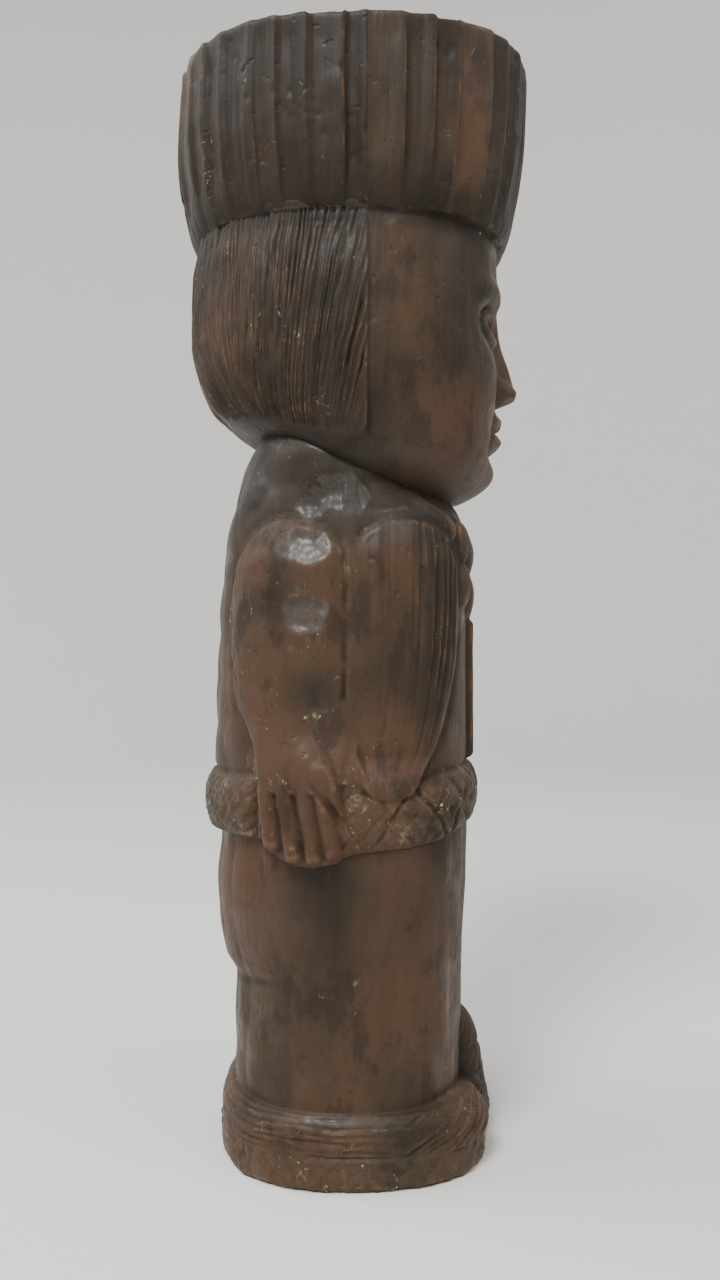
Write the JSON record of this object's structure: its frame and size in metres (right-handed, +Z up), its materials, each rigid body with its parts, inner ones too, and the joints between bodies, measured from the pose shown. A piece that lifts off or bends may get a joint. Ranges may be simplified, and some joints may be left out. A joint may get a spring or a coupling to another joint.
{
  "type": "carved wooden figure",
  "caption": "Small standing figure carved from one block of dark stained wood, with a tall feather crown, combed hair, arms at its sides, a rolled belt and a mound as its foot.",
  "frame": {"origin": "middle of the flat underside that the figure stands on", "axes": "+Z up, the figure looks along -Y, its right arm is at -X"},
  "size_m": [0.09, 0.1, 0.3],
  "materials": {
    "stained_wood": "dark brown stain under an old, uneven wax polish"
  },
  "bodies": {
    "root": {"carved_figure": "stained_wood"}
  },
  "joints": []
}
